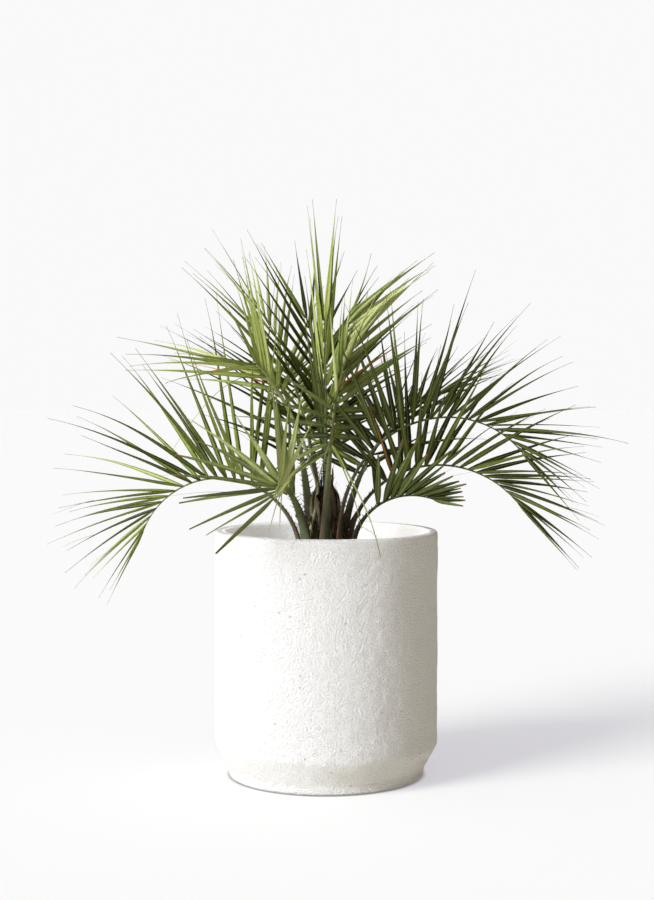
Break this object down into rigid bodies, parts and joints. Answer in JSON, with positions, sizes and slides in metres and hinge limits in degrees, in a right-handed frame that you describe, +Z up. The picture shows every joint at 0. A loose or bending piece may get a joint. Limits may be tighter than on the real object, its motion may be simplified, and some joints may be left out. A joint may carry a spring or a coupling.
{
  "type": "potted jelly palm",
  "caption": "Young feather palm with arching, folded grey-green leaflets, standing in a round off-white planter with a tapered foot.",
  "frame": {"origin": "centre of the planter's base, on the ground", "axes": "+Z up, +X to the right and -Y towards the front of the plant"},
  "size_m": [0.8172, 0.66, 0.8242],
  "materials": {
    "planter_stucco": "off-white, matt, cast with a fine rough grain and pits",
    "drainage_net": "black woven net, matt",
    "pumice_gravel": "light brown porous pumice, dull",
    "potting_soil": "dark crumbly potting mix with bark and a few pale grains",
    "stem_fibre": "dry brown fibre and old leaf bases, rough",
    "green_leaf": "olive to yellow-green, satin, finely veined along the blade",
    "grey_green_leaf": "grey-green with a pale waxy bloom, satin"
  },
  "bodies": {
    "root": {"planter": "planter_stucco", "drainage_net": "drainage_net", "drainage_gravel": "pumice_gravel", "potting_soil": "potting_soil", "palm_stem": "stem_fibre", "frond_left_low": "green_leaf", "frond_front_left": "grey_green_leaf", "frond_right_long": "green_leaf", "frond_right_low": "green_leaf", "frond_right_cut": "grey_green_leaf", "frond_front": "grey_green_leaf", "frond_left_fan": "green_leaf", "frond_left_tall": "green_leaf", "frond_back": "green_leaf", "frond_back_right": "green_leaf", "frond_back_left": "green_leaf", "frond_spear": "green_leaf"}
  },
  "joints": []
}
